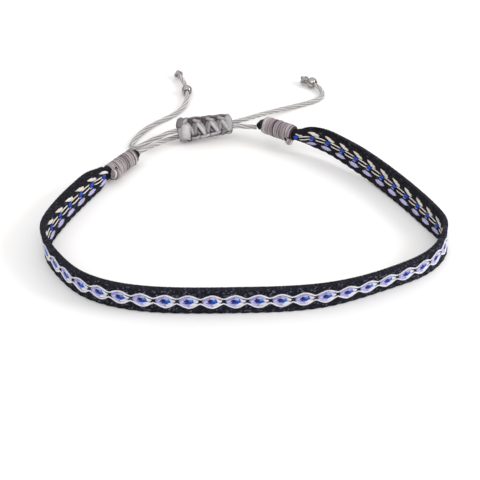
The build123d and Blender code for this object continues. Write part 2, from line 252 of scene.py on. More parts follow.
def tube(batch, path, width, height, normals, sides, tint, seed, crease_shade=0.0):
    """A thread along a path, flattened to width by height, its flat side square to the normals.

    Without normals they are worked out along the path. Seed is the thread's own number for its fibres,
    and the last argument is how much darker its two sides are painted: painted shade where it lies against
    its neighbours."""
    path = np.asarray(path, float)
    count = len(path)
    along = unit(np.gradient(path, axis=0))
    if normals is None:
        normals = carried_normals(along)
    side = unit(np.cross(along, normals))
    up = np.cross(side, along)
    width = np.broadcast_to(width, count)[:, None, None] / 2
    height = np.broadcast_to(height, count)[:, None, None] / 2
    angle = np.arange(sides) * 2 * math.pi / sides
    rings = (path[:, None] + side[:, None] * np.cos(angle)[None, :, None] * width
             + up[:, None] * np.sin(angle)[None, :, None] * height)
    verts = np.concatenate([rings.reshape(-1, 3), path[:1], path[-1:]])
    reach = reach_along(path)
    thread = np.stack([np.repeat(reach, sides), np.tile(np.abs(angle / math.pi - 1), count),
                       np.full(count * sides, seed)], -1)
    thread = np.concatenate([thread, [[0, 0.5, seed], [reach[-1], 0.5, seed]]])
    tint = np.broadcast_to(np.asarray(tint, float), (count, 3))
    # painted shade: each ring is darker at the thread's two sides, where it lies against its neighbours
    around = 1 - crease_shade * (1 - np.abs(np.sin(angle))) ** 1.5
    tint = np.concatenate([(tint[:, None] * around[None, :, None]).reshape(-1, 3), tint[:1], tint[-1:]])
    batch.add(verts, ring_faces(count, sides), tint, thread)


# ---- Materials ----
def principled(name, roughness, sheen=0.0, metallic=0.0, specular=0.5):
    material = bpy.data.materials.new(name)
    material.use_nodes = True
    shader = material.node_tree.nodes["Principled BSDF"]
    shader.inputs["Roughness"].default_value = roughness
    shader.inputs["Metallic"].default_value = metallic
    shader.inputs["Sheen Weight"].default_value = sheen
    shader.inputs["Specular IOR Level"].default_value = specular
    return material, material.node_tree, shader


def node(tree, kind, inputs, **settings):
    """A shader node with settings, and inputs that are set or joined to other nodes' outputs."""
    made = tree.nodes.new("ShaderNode" + kind)
    for name, value in settings.items():
        setattr(made, name, value)
    for name, value in inputs.items():
        if isinstance(value, bpy.types.NodeSocket):
            tree.links.new(value, made.inputs[name])
        else:
            made.inputs[name].default_value = value
    return made


def object_noise(tree, scale, detail):
    """Noise that stays in place on the object."""
    place = node(tree, "TexCoord", {}).outputs["Object"]
    return node(tree, "TexNoise", {"Vector": place, "Scale": scale, "Detail": detail}).outputs["Fac"]


def colour_ramp(tree, factor, low, high):
    """A colour between two."""
    ramp = node(tree, "ValToRGB", {"Fac": factor})
    for element, colour in zip(ramp.color_ramp.elements, (low, high)):
        element.color = (*colour, 1.0)
    return ramp


def thread_material(name, roughness, sheen, ply, fibre, contrast, fuzz, relief):
    """Thread: its tint from the mesh, twisted plies and fibres along it, faint unevenness, bump."""
    material, tree, shader = principled(name, roughness, sheen, 0.0, 0.2)
    tint = node(tree, "Attribute", {}, attribute_name="tint").outputs["Color"]
    thread = node(tree, "Attribute", {}, attribute_name="thread").outputs["Vector"]
    place = node(tree, "Mapping", {"Vector": thread, "Scale": (ply, fibre, 1.0), "Rotation": (0.0, 0.0, 0.5)})
    wave = node(tree, "TexWave", {"Vector": place.outputs["Vector"], "Scale": 1.0, "Distortion": 2.5,
                                  "Detail": 2.0, "Detail Scale": 1.5},
                wave_type="BANDS", bands_direction="Y").outputs["Fac"]
    shade = node(tree, "MapRange", {"Value": wave, "To Min": 1.0 - contrast, "To Max": 1.0 + contrast * 0.5})
    patch = node(tree, "MapRange", {"Value": object_noise(tree, fuzz, 4.0), "From Min": 0.3, "From Max": 0.7,
                                    "To Min": 1.0 - contrast * 0.6, "To Max": 1.0 + contrast * 0.4})
    both = node(tree, "Math", {0: shade.outputs["Result"], 1: patch.outputs["Result"]}, operation="MULTIPLY")
    colour = node(tree, "VectorMath", {0: tint, "Scale": both.outputs["Value"]}, operation="SCALE")
    tree.links.new(colour.outputs["Vector"], shader.inputs["Base Color"])
    bump = node(tree, "Bump", {"Height": wave, "Strength": 0.6, "Distance": relief * MM})
    tree.links.new(bump.outputs["Normal"], shader.inputs["Normal"])
    return material


# Roughness, sheen, scale of the plies and of the fibres, contrast, scale of the unevenness, and relief
weave_thread = thread_material("weave_thread", 0.85, 0.02, 1.5, 3.0, 0.28, 2600.0, 0.03)
float_thread = thread_material("float_thread", 0.6, 0.05, 0.8, 4.0, 0.16, 1800.0, 0.03)
wrap_thread = thread_material("wrap_thread", 0.75, 0.05, 1.2, 4.0, 0.22, 1500.0, 0.04)
slider_thread = thread_material("slider_thread", 0.55, 0.05, 0.35, 8.0, 0.2, 1200.0, 0.05)
cord_thread = thread_material("cord_thread", 0.5, 0.05, 0.8, 5.0, 0.16, 1400.0, 0.04)


# ---- The strap's own frame ----
def strap_spline():
    """Rows of centre, up, width, thickness and curl along the strap, from tip to tip."""
    def gathered(wrap):
        along = heading_vector(wrap["heading"], wrap["slope"])
        tip_along = heading_vector(wrap["tip_heading"], wrap["tip_slope"])
        places = [np.array(wrap["mouth"]) + along * wrap["length"] * share for share in (0, 1 / 3, 2 / 3, 1)]
        places.append(places[-1] + tip_along * wrap["tip_length"])
        alongs = [along] * 4 + [unit(along + tip_along)]
        sizes = [1.0] * 4 + [wrap["tip_taper"]]
        rows = []
        for place, direction, size in zip(places, alongs, sizes):
            up = unit(np.array((0, 0, 1.0)) - direction * direction[2])
            rows.append((*place, *up, size * gathered_width, size * gathered_thickness, gathered_turn))
        return rows

    rows = gathered(LEFT_WRAP)[::-1]
    flat = [(r[0] * loop_width, r[1] * loop_depth) for r in STRAP_ROWS]
    flat = [LEFT_WRAP["mouth"][:2]] + flat + [RIGHT_WRAP["mouth"][:2]]
    for number, (_, _, lift, lean, width, thickness, curl) in enumerate(STRAP_ROWS):
        along = unit(np.subtract(flat[number + 2], flat[number]))
        outward = np.array((along[1], -along[0], 0.0))
        lean = math.radians(lean)
        width, thickness = width * strap_width, thickness * strap_thickness
        height = lift * strap_width + (width * math.cos(lean) + thickness * abs(math.sin(lean))) / 2
        up = outward * math.sin(lean) + np.array((0, 0, math.cos(lean)))
        rows.append((*flat[number + 1], height, *up, width, thickness, curl))
    rows += gathered(RIGHT_WRAP)
    return np.array(rows)


STRAP_SAMPLES = 3000


class Strap:
    """Places on the strap by length along it, height across it and depth through it."""

    def __init__(self):
        rows = strap_spline()
        knots = reach_along(rows[:, :3])
        table = cubic_through(knots, rows)(np.linspace(0, knots[-1], STRAP_SAMPLES))
        centre = table[:, :3]
        along = unit(np.gradient(centre, axis=0))
        out = unit(np.cross(along, table[:, 3:6]))
        up = np.cross(out, along)
        self.reach = reach_along(centre)
        self.length = self.reach[-1]
        self.table = np.column_stack([centre, up, out, table[:, 6:9]])

    def at(self, along, across, depth):
        """Points, and the direction away from the loop's middle there.

        Across runs from -strap_width / 2 at the lower edge to strap_width / 2 at the upper one, also
        where the strap is gathered."""
        along, across, depth = np.broadcast_arrays(np.asarray(along, float), across, depth)
        row = np.stack([np.interp(along, self.reach, column) for column in self.table.T], -1)
        centre, up, out = row[..., :3], row[..., 3:6], row[..., 6:9]
        width, thickness, curl = row[..., 9], row[..., 10], np.radians(row[..., 11])
        radius = width / curl
        turn = across / strap_width * curl
        reduced = radius - depth * thickness / strap_thickness
        rise = (reduced * np.sin(turn))[..., None]
        push = (radius * np.maximum(0, np.cos(curl / 2)) - reduced * np.cos(turn))[..., None]
        normal = out * np.cos(turn)[..., None] - up * np.sin(turn)[..., None]
        return centre + up * rise + out * push, normal


strap = Strap()

# Places of the pattern along the strap: number of the repeat, and millimetres from the left tip
FRONT_PLACES = [(-8, 7.7), (0, 41.1), (6, 65.9), (11, 87.2), (14, 99.7), (18, 116.3), (21, 128.2),
                (34, 181.5)]
BACK_PLACES = [(-1, 7.8), (0, 11.8), (5, 32.7), (30, 135.6), (32, 142.8), (36, 159.2), (39, 171.1),
               (42, 182.8)]
SPAN = (9.8, 179.6)  # of the patterned length
BODY_DEPTH = 0.34  # half the thickness of the band under the threads
EDGE_TURN = 0.2  # from the body's edge to the strap's

WHITE = (0.92, 0.90, 0.96)
CREAM = (0.80, 0.74, 0.68)
PALE = (0.60, 0.60, 0.90)
LAVENDER = (0.42, 0.40, 0.82)
BLUE = (0.02, 0.10, 0.62)
ROYAL = (0.012, 0.06, 0.42)
# a paler blue thread, painted as the highlight on the blue middle of each diamond
SKY_HIGHLIGHT = (0.14, 0.32, 0.84)
NAVY = (0.010, 0.018, 0.16)
SATIN = (0.54, 0.51, 0.78)
# One diamond of the front, drawn as threads: (colour, width, lift, points), each point as share of the
# pitch from the diamond's middle, and millimetres above the strap's middle line
DIAMOND = [
    (WHITE, 0.32, 0.11, [(-0.57, 0.64), (-0.46, 0.73), (-0.32, 1.06), (-0.16, 1.42), (0.01, 1.57)]),
    (WHITE, 0.32, 0.12, [(-0.03, 1.57), (0.13, 1.45), (0.29, 1.08), (0.43, 0.74), (0.56, 0.64)]),
    (WHITE, 0.32, 0.12, [(-0.57, -0.46), (-0.46, -0.55), (-0.32, -0.92), (-0.16, -1.34), (0.01, -1.55)]),
    (WHITE, 0.32, 0.11, [(-0.03, -1.55), (0.13, -1.42), (0.29, -1.0), (0.43, -0.58), (0.56, -0.46)]),
    (WHITE, 0.3, 0.12, [(-0.1, 1.52), (0.0, 1.57), (0.1, 1.52)]),
    (WHITE, 0.3, 0.12, [(-0.1, -1.49), (0.0, -1.55), (0.1, -1.49)]),
    (LAVENDER, 0.24, 0.075, [(-0.12, 1.2), (0.0, 1.28), (0.12, 1.2)]),
    (PALE, 0.24, 0.075, [(-0.12, -1.16), (0.0, -1.24), (0.12, -1.16)]),
    (LAVENDER, 0.24, 0.07, [(-0.4, 0.62), (-0.28, 0.92), (-0.14, 1.2), (0.02, 1.3)]),
    (PALE, 0.24, 0.07, [(-0.03, 1.3), (0.14, 1.16), (0.27, 0.86), (0.38, 0.58)]),
    (PALE, 0.24, 0.07, [(-0.4, -0.46), (-0.28, -0.74), (-0.14, -1.08), (0.02, -1.26)]),
    (WHITE, 0.24, 0.07, [(-0.03, -1.26), (0.14, -1.12), (0.27, -0.78), (0.38, -0.48)]),
    (LAVENDER, 0.3, 0.08, [(-0.43, 0.28), (-0.32, 0.54), (-0.2, 0.82), (-0.04, 0.98)]),
    (PALE, 0.28, 0.08, [(-0.08, 0.98), (0.06, 0.96), (0.18, 0.78), (0.3, 0.48)]),
    (PALE, 0.28, 0.08, [(-0.42, -0.14), (-0.3, -0.42), (-0.16, -0.78), (0.0, -0.94)]),
    (WHITE, 0.28, 0.08, [(-0.04, -0.96), (0.1, -0.88), (0.22, -0.62), (0.34, -0.3)]),
    (LAVENDER, 0.3, 0.09, [(-0.44, 0.04), (-0.34, 0.18), (-0.22, 0.42), (-0.1, 0.66)]),
    (WHITE, 0.26, 0.1, [(-0.36, -0.04), (-0.28, 0.06), (-0.2, 0.16)]),
    (LAVENDER, 0.28, 0.08, [(-0.34, -0.26), (-0.24, -0.22), (-0.14, -0.34)]),
    (LAVENDER, 0.26, 0.08, [(-0.24, -0.52), (-0.1, -0.64), (0.06, -0.66)]),
    (WHITE, 0.28, 0.08, [(0.02, -0.66), (0.14, -0.56), (0.26, -0.36)]),
    (PALE, 0.28, 0.08, [(-0.12, 0.68), (0.02, 0.68), (0.14, 0.5)]),
    (WHITE, 0.3, 0.09, [(0.16, 0.48), (0.28, 0.32), (0.42, 0.14)]),
    (WHITE, 0.3, 0.09, [(0.2, 0.14), (0.3, 0.02), (0.42, 0.02)]),
    (PALE, 0.28, 0.08, [(0.22, -0.16), (0.3, -0.18), (0.38, -0.12)]),
    (NAVY, 0.32, 0.11, [(-0.22, 0.16), (-0.12, 0.34), (0.02, 0.42)]),
    (NAVY, 0.3, 0.12, [(-0.18, -0.06), (-0.08, 0.08), (0.04, 0.16)]),
    # painted highlight on the blue middle
    (SKY_HIGHLIGHT, 0.28, 0.12, [(-0.02, 0.38), (0.09, 0.34), (0.18, 0.22)]),
    (BLUE, 0.34, 0.12, [(-0.02, 0.08), (0.09, 0.02), (0.21, -0.1)]),
    (ROYAL, 0.32, 0.12, [(-0.14, -0.2), (-0.02, -0.22), (0.14, -0.32)]),
    (BLUE, 0.26, 0.11, [(-0.08, -0.44), (0.03, -0.44), (0.14, -0.48)]),
]
# One repeat of the back: satin ovals above and below a chain of paired floats and dots
BACK_REPEAT = [
    (CREAM, 0.24, 0.09, [(-0.14, 1.36), (-0.02, 1.44), (0.12, 1.46), (0.24, 1.5)]),
    (CREAM, 0.28, 0.12, [(-0.36, 1.1), (-0.16, 1.2), (0.06, 1.3), (0.3, 1.44)]),
    (CREAM, 0.28, 0.12, [(-0.42, 0.94), (-0.2, 0.98), (0.02, 1.1), (0.22, 1.28)]),
    (CREAM, 0.26, 0.09, [(-0.4, 0.76), (-0.24, 0.76), (-0.06, 0.86), (0.08, 1.02)]),
    (SATIN, 0.26, 0.09, [(-0.2, -1.3), (-0.04, -1.18), (0.14, -1.16), (0.32, -1.26)]),
    (SATIN, 0.28, 0.12, [(-0.3, -1.46), (-0.08, -1.38), (0.16, -1.36), (0.44, -1.48)]),
    (SATIN, 0.28, 0.12, [(-0.28, -1.64), (-0.06, -1.6), (0.18, -1.6), (0.46, -1.66)]),
    (SATIN, 0.26, 0.09, [(-0.16, -1.82), (0.02, -1.84), (0.2, -1.84), (0.36, -1.8)]),
    (CREAM, 0.26, 0.1, [(0.14, 0.34), (0.36, 0.42), (0.6, 0.44), (0.88, 0.34)]),
    (CREAM, 0.26, 0.1, [(0.12, -0.2), (0.34, -0.33), (0.6, -0.38), (0.84, -0.32)]),
    (ROYAL, 0.3, 0.15, [(-0.11, 0.38), (0.0, 0.44), (0.11, 0.36)]),
    (BLUE, 0.32, 0.17, [(-0.15, 0.14), (0.0, 0.18), (0.15, 0.1)]),
    (ROYAL, 0.32, 0.17, [(-0.12, -0.12), (0.02, -0.12), (0.16, -0.17)]),
    (ROYAL, 0.26, 0.15, [(-0.04, -0.36), (0.06, -0.38), (0.16, -0.4)]),
    (SATIN, 0.22, 0.1, [(-0.02, -0.56), (0.1, -0.58), (0.2, -0.54)]),
]


SHORTEST_PITCH = 3.6  # that a repeat is drawn at


def pattern_threads(batch, places, repeat, face):
    """The coloured threads of one face: each dives into the strap at both ends."""
    numbers, reaches = np.array(places, float).T
    for number in range(int(numbers[0]), int(numbers[-1]) + 1):
        middle = np.interp(number, numbers, reaches)
        pitch = np.interp(number + 0.5, numbers, reaches) - np.interp(number - 0.5, numbers, reaches)
        for colour, width, lift, points in repeat:
            points = np.array(points)
            along = middle + points[:, 0] * max(pitch, SHORTEST_PITCH)
            if along.min() < SPAN[0] or along.max() > SPAN[1]:
                continue
            across = points[:, 1] + chance.normal(0, 0.025)
            along = along + chance.normal(0, 0.03)
            steps = 4 + 2 * len(points)
            line = smooth(np.stack([along, across], -1), steps)
            share = np.linspace(0, 1, steps)
            arch = np.clip(np.sin(share * math.pi) * 2.2, 0, 1)
            height = width * 0.62
            depth = BODY_DEPTH - 0.06 + (lift + 0.10) * arch
            path, normal = strap.at(line[:, 0], line[:, 1], face * depth)
            shade = 1 + chance.normal(0, 0.06)
            # painted shade: each thread is darker towards its two ends, where it dives into the strap
            tint = np.clip(np.array(colour)[None] * shade * (0.65 + 0.35 * arch[:, None]), 0, 0.95)
            tube(batch, path, width * (0.45 + 0.55 * arch), height * (0.5 + 0.5 * arch), normal * face,
                 6, tint, chance.random())


# A grain is a low dome: two rings of six points, each as shares of its half sizes and of its height,
# and a top
GRAIN_SIDES = 6
GRAIN_RINGS = [(1.0, 0.0), (0.72, 0.72)]
GRAIN_MARGINS = (0.17, 0.05)  # left free at the strap's lower and upper edge


def grains(batch, along, across, depth, half_length, half_width, height, slant, tints, face):
    """Many small woven grains at once, on the front (face 1) or the back (-1)."""
    count = len(along)
    angle = np.arange(GRAIN_SIDES) * 2 * math.pi / GRAIN_SIDES
    local = [(ring * math.cos(a), ring * math.sin(a), rise) for ring, rise in GRAIN_RINGS for a in angle]
    local = np.array(local + [(0.0, 0.0, 1.0)])
    x = local[None, :, 0] * half_length[:, None]
    y = local[None, :, 1] * half_width[:, None]
    c, s = np.cos(slant)[:, None], np.sin(slant)[:, None]
    reach = along[:, None] + x * c - y * s
    rise = np.clip(across[:, None] + x * s + y * c,
                   GRAIN_MARGINS[0] - strap_width / 2, strap_width / 2 - GRAIN_MARGINS[1])
    points, _ = strap.at(reach, rise, face * (depth + local[None, :, 2] * height[:, None]))
    size = len(local)
    j = np.arange(GRAIN_SIDES)
    following = (j + 1) % GRAIN_SIDES
    quads = np.stack([j, following, GRAIN_SIDES + following, GRAIN_SIDES + j], -1)
    fans = np.stack([GRAIN_SIDES + j, GRAIN_SIDES + following, np.full(GRAIN_SIDES, size - 1),
                     np.full(GRAIN_SIDES, NO_CORNER)], -1)
    faces = np.concatenate([quads, fans])[None] + (np.arange(count) * size)[:, None, None]
    thread = np.stack([x + half_length[:, None], (y / half_width[:, None] + 1) / 2,
                       np.broadcast_to(np.arange(count)[:, None] * 0.37, x.shape)], -1)
    batch.add(points.reshape(-1, 3), faces.reshape(-1, 4), np.repeat(tints, size, axis=0),
              thread.reshape(-1, 3))


# The plain charcoal weave of the front, about ten rows of slanted grains to a diamond. Rows begin at
# "start" from each tip and are dropped within "margin" of it. Sizes are (least, most), the slant is
# (middle, spread), and "shares" is up to where the first tint and the second are picked.
FRONT_GROUND = {
    "columns": 17, "row_pitch": 0.417, "stagger": 2, "start": 0.3, "margin": 0.3, "wander": 0.02,
    "half_length": (0.20, 0.28), "half_width": (0.13, 0.17), "height": (0.09, 0.16), "slant": (0.5, 0.15),
    "tints": ((0.008, 0.009, 0.017), (0.026, 0.028, 0.050), (0.11, 0.115, 0.17)), "shares": (0.56, 0.85),
}
# The back has longer, smoother black floats, in rows that lie along the strap
BACK_GROUND = {
    "columns": 16, "row_pitch": 0.62, "stagger": 3, "start": 0.4, "margin": 0.5, "wander": 0.015,
    "half_length": (0.38, 0.5), "half_width": (0.15, 0.18), "height": (0.08, 0.12), "slant": (0.06, 0.05),
    "tints": ((0.008, 0.008, 0.012), (0.018, 0.020, 0.030), (0.05, 0.055, 0.08)), "shares": (0.7, 0.96),
}


def ground_tints(count, tints, shares):
    """Charcoal thread tints: mostly dark, some paler fibres catching the light."""
    dark, mid, speck = tints
    pick = chance.random(count)[:, None]
    base = np.where(pick < shares[0], dark, np.where(pick < shares[1], mid, speck))
    return base * chance.uniform(0.6, 1.4, (count, 1))


def ground(batch, kind, face):
    """The plain weave of one face, as columns of grains along the strap, each set off from the next."""
    columns, row_pitch, stagger = kind["columns"], kind["row_pitch"], kind["stagger"]
    rows = np.arange(kind["start"], strap.length - kind["start"], row_pitch)
    spacing = strap_width / columns
    along, column = np.meshgrid(rows, np.arange(columns), indexing="ij")
    along = along + (column % stagger) * row_pitch / stagger + chance.normal(0, 0.03, along.shape)
    across = (column + 0.5) * spacing - strap_width / 2 + chance.normal(0, kind["wander"], along.shape)
    keep = (along > kind["margin"]) & (along < strap.length - kind["margin"])
    along, across = along[keep], across[keep]
    count = len(along)
    half_length, half_width, height = (chance.uniform(*kind[size], count)
                                       for size in ("half_length", "half_width", "height"))
    slant = chance.normal(*kind["slant"], count)
    tints = ground_tints(count, kind["tints"], kind["shares"])
    grains(batch, along, across, BODY_DEPTH, half_length, half_width, height, slant, tints, face)


def edge_turns(batch):
    """Threads that turn over the strap's two long edges, side by side along each."""
    row_pitch, steps = 0.36, 7
    numbers, reaches = np.array(FRONT_PLACES, float).T
    for side in (1, -1):
        for row, along in enumerate(np.arange(0.4, strap.length - 0.4, row_pitch)):
            along = along + chance.normal(0, 0.02)
            # the lower edge swells twice for each diamond, the upper one has small ridges
            swell = math.cos(4 * math.pi * (np.interp(along, reaches, numbers) + 0.13))
            bulge = 0.20 * swell if side < 0 else 0.05 * (-1) ** row
            turn = np.linspace(-0.5, 0.5, steps) * math.pi
            out = 0.06 + bulge + chance.normal(0, 0.015)
            across = side * (strap_width / 2 - EDGE_TURN + out * np.cos(turn))
            depth = 0.45 * np.sin(turn)
            path, _ = strap.at(along + 0.10 * np.sin(turn), across, depth)
            shade = chance.choice((0.6, 0.9, 1.3, 2.4), p=(0.4, 0.35, 0.18, 0.07))
            # which way is through the strap, and across it, just inside its edge
            _, facing = strap.at(np.full(steps, along), side * 2.2, 0.0)
            across_way = unit(strap.at(along, side * 2.8, 0.0)[0] - strap.at(along, side * 2.4, 0.0)[0])
            outward = facing * np.sin(turn)[:, None] + across_way * np.cos(turn)[:, None]
            tint = np.array((0.016, 0.016, 0.026)) * shade
            tube(batch, path, 0.40, 0.20, outward, 6, tint, chance.random())


def strap_body(batch):
    """The band that the threads cover."""
    places = np.linspace(0.02, strap.length - 0.02, 700)
    half = strap_width / 2 - EDGE_TURN
    outline = [(-half, -1), (-1.4, -1), (0, -1), (1.4, -1), (half, -1),
               (half + 0.10, 0), (half, 1), (1.4, 1), (0, 1), (-1.4, 1), (-half, 1), (-half - 0.02, 0)]
    outline = np.array(outline)
    points, _ = strap.at(places[:, None], outline[None, :, 0], outline[None, :, 1] * BODY_DEPTH)
    sides = len(outline)
    ends = strap.at(np.array([places[0], places[-1]]), 0.0, 0.0)[0]
    verts = np.concatenate([points.reshape(-1, 3), ends])
    batch.add(verts, ring_faces(len(places), sides), (0.008, 0.008, 0.014), (0.0, 0.0, 0.0))


# The strap's pieces: name, material, and what each holds
STRAP_PIECES = [
    ("strap_ground", weave_thread, [(strap_body,), (ground, FRONT_GROUND, 1)]),
    ("strap_edges", weave_thread, [(edge_turns,)]),
    ("strap_back_ground", weave_thread, [(ground, BACK_GROUND, -1)]),
    ("strap_diamonds", float_thread, [(pattern_threads, FRONT_PLACES, DIAMOND, 1)]),
    ("strap_floats", float_thread, [(pattern_threads, BACK_PLACES, BACK_REPEAT, -1)]),
]


def make_strap():
    for name, material, layers in STRAP_PIECES:
        batch = Batch()
        for layer, *details in layers:
            layer(batch, *details)
        batch.piece(name, material, "weave", "woven_strap")


# ---- Wound ends ----
# Each wound end's knot: the side and angle it points to, its middle along and out from the mouth, and
# its width; tip is how far the drawn threads run past the wrap
LEFT_KNOT = {"sign": -1, "angle": -14.0, "place": 0.0, "out": 2.1, "width": 2.3, "tip": 0.7}
RIGHT_KNOT = {"sign": 1, "angle": 42.0, "place": 0.25, "out": 1.85, "width": 1.6, "tip": 1.3}


class WrapFrame:
    """A wrap's mouth, its axis, the level and rising directions across it, and its radii."""

    def __init__(self, wrap):
        self.mouth = np.array(wrap["mouth"])
        self.length = wrap["length"]
        self.axis = heading_vector(wrap["heading"], wrap["slope"])
        self.level = unit(np.array((-self.axis[1], self.axis[0], 0.0)))
        self.rise = np.cross(self.axis, self.level)
        self.bore = gathered_width / math.radians(gathered_turn) + gathered_thickness / 2 + wrap_clearance
        self.outer = self.bore + wrap["wall"] - 0.16

    def around(self, angle):
        """Directions away from the axis, at angles from the level one."""
        return self.level * np.cos(angle)[:, None] + self.rise * np.sin(angle)[:, None]


def wrap_windings(batch, wrap, pale, dark):
    """Turns of flat thread round the gathered end, in pairs, paler and darker by random patches, with painted
    light and shade: paler where a pair stands highest, darker in the low gap between pairs.
    """
    threads = wrap_turns * 2
    steps = 30
    turn = np.arange(threads * steps + 1) / steps
    angle = 2 * math.pi * turn
    wobble = smooth(chance.normal(0, 1, (threads * 2, 3)), len(turn))
    pair = 0.5 - 0.5 * np.cos(math.pi * turn)
    radius = wrap.outer + 0.02 + 0.07 * pair + 0.05 * wobble[:, 0]
    along = 0.2 + turn / threads * (wrap.length - 0.4)
    along = along + 0.07 * wobble[:, 1] + 0.22 * np.cos(angle - 0.6)
    along = np.clip(along, 0.12, wrap.length - 0.12)
    out = wrap.around(angle)
    path = wrap.mouth + wrap.axis * along[:, None] + out * radius[:, None]
    patches = smooth(chance.normal(0, 1, (threads, 3)), len(turn))[:, 0]
    # painted light and shade: the pair term makes each pair's raised middle paler and the gaps between pairs
    # darker; the other terms are random patches
    mix = 0.55 + 0.22 * wobble[:, 2] + 0.25 * pair + 0.30 * patches * np.cos(angle + 2 * patches)
    mix = np.clip(mix, 0, 1)[:, None]
    tube(batch, path, 0.42 + 0.05 * wobble[:, 1], 0.30, out, 8, dark * (1 - mix) + pale * mix, 0.3, 0.8)


def gap_shade_sleeve(batch, wrap):
    """A dark sleeve just under the turns: painted shade seen between them."""
    sides = 24
    out = wrap.around(np.arange(sides) * 2 * math.pi / sides)
    inside, outside = wrap.bore + 0.03, wrap.outer - 0.06
    profile = [(0.0, inside), (0.0, outside), (wrap.length, outside), (wrap.length, inside)]
    rings = np.concatenate([wrap.mouth + wrap.axis * along + out * radius for along, radius in profile])
    batch.add(rings, closed_ring_faces(len(profile), sides), (0.055, 0.03, 0.035), (0.0, 0.0, 0.0))


def wrap_tip(batch, wrap, stretch):
    """The strap's dark threads, drawn together where they leave the wrap."""
    reach = np.array([-0.5, -0.2, 0.05, 0.3, 0.6, 1.0]) * stretch
    drawn = 2 * np.array([wrap.outer - 0.1, wrap.outer - 0.06, wrap.outer - 0.14, wrap.outer - 0.45,
                          wrap.outer - 0.8, 0.75])
    path = wrap.mouth + wrap.axis * (wrap.length + reach[:, None])
    tube(batch, path, drawn, drawn, None, 20, (0.010, 0.010, 0.014), 0.3)


def wrap_knot(batch, wrap, knot, pale, dark):
    """A coil of thread pulled into a ball over the first turn, beside the strap."""
    low = math.radians(knot["angle"])
    side = unit(wrap.level * knot["sign"] * math.cos(low) - wrap.rise * math.sin(low))
    middle = wrap.mouth + wrap.axis * knot["place"] + side * knot["out"]
    run = unit(np.cross(wrap.axis, side))
    ball = knot["width"] / 2
    # the ball: rings round the way it points, which narrow to both ends
    span = np.linspace(-0.96, 0.96, 13)
    breadth = 2 * ball * np.sqrt(1 - span ** 2) * 0.88
    path = middle + side * span[:, None] * ball * 0.88
    tube(batch, path, breadth, breadth, None, 16, dark * 0.55 + pale * 0.35, 0.0)
    # a dark arc on the tip's side: painted shadow in the hollow there
    spin = math.atan2(-math.sin(low), knot["sign"] * math.cos(low)) + np.linspace(-0.62, 0.62, 15)
    hollow = wrap.around(spin)
    path = wrap.mouth + wrap.axis * (knot["place"] + ball * 0.98) + hollow * (wrap.outer + 0.16)
    tube(batch, path, 0.60, 0.34, hollow, 8, dark * 0.2, 0.0)
    # three coils over the ball, each mixed by how lit it is painted: a painted highlight on the first,
    # painted shade on the second
    across = unit(wrap.axis * math.cos(0.5) + run * math.sin(0.5))
    other = unit(np.cross(across, side))
    ring = np.linspace(-0.7, 0.7, 25) * math.pi
    outward = side * np.cos(ring)[:, None] + other * np.sin(ring)[:, None]
    for number, lit in enumerate((1.25, 0.35, 0.75)):
        tilt = (number - 1) * 0.62
        reach, shift = (ball - 0.12) * math.cos(tilt), (ball - 0.12) * math.sin(tilt)
        tube(batch, middle + across * shift + outward * reach, 0.62, 0.34, outward, 8,
             np.clip(dark * (1 - lit) + pale * lit, 0.02, 0.9), number * 0.13, 0.8)


def wound_end(name, table, knot, pale, dark):
    """One wound end: its turns, the dark threads under and past them, and the knot."""
    wrap = WrapFrame(table)
    pale, dark = np.array(pale), np.array(dark)
    batch = Batch()
    wrap_windings(batch, wrap, pale, dark)
    gap_shade_sleeve(batch, wrap)
    wrap_tip(batch, wrap, knot["tip"])
    wrap_knot(batch, wrap, knot, pale, dark)
    batch.piece(name + "_turns", wrap_thread, "wrap_thread", name)


# ---- Cords ----
def nurbs_line(name, route):
    """Points of the smooth line whose control points are the route's, in metres."""
    data = bpy.data.curves.new(name, "CURVE")
    data.dimensions = "3D"
    spline = data.splines.new("NURBS")
    spline.points.add(len(route) - 1)
    for point, place in zip(spline.points, route):
        point.co = (place[0] * MM, place[1] * MM, place[2] * MM, 1.0)
    spline.order_u = 3
    spline.use_endpoint_u = True
    spline.resolution_u = 10
    carrier = bpy.data.objects.new(name, data)
    mesh = bpy.data.meshes.new_from_object(carrier)
    points = np.array([tuple(vertex.co) for vertex in mesh.vertices])
    bpy.data.objects.remove(carrier)
    bpy.data.curves.remove(data)
    bpy.data.meshes.remove(mesh)
    return points


STRAND = 0.46  # thickness of one of a cord's strands
CORD_STRANDS = 5
# the core's dark tint is painted shade, seen in the gaps between the strands
CORD_SHADE_CORE = 0.6  # thickness of the dark core between them


def make_cord(name, route, twist):
    """Twisted fine strands along the route's own line."""
    line = nurbs_line(name + "_line", route)
    points = line / MM
    along = unit(np.gradient(points, axis=0))
    reach = reach_along(points)
    side = carried_normals(along)
    other = np.cross(along, side)
    batch = Batch()
    spread = (cord_diameter - STRAND) / 2
    for number in range(CORD_STRANDS):
        angle = (2 * math.pi * (number / CORD_STRANDS + reach / twist))[:, None]
        outward = side * np.cos(angle) + other * np.sin(angle)
        path = points + outward * spread
        path[:, 2] = np.maximum(path[:, 2], STRAND / 2)
        tint = np.array((0.62, 0.60, 0.60)) * (1 + 0.10 * math.cos(number * 2.4))
        tube(batch, path, STRAND, STRAND, outward, 8, tint, number * 0.21, 0.7)
    # painted shade: the dark core seen between the strands
    tube(batch, points, CORD_SHADE_CORE, CORD_SHADE_CORE, None, 6, (0.17, 0.15, 0.155), 0.9)
    piece = batch.piece(name + "_strands", cord_thread, "cord", name)


# ---- Slider ----
SLIDER_MIDDLE = (-0.113 * loop_width, 0.455 * loop_depth, 3.29)
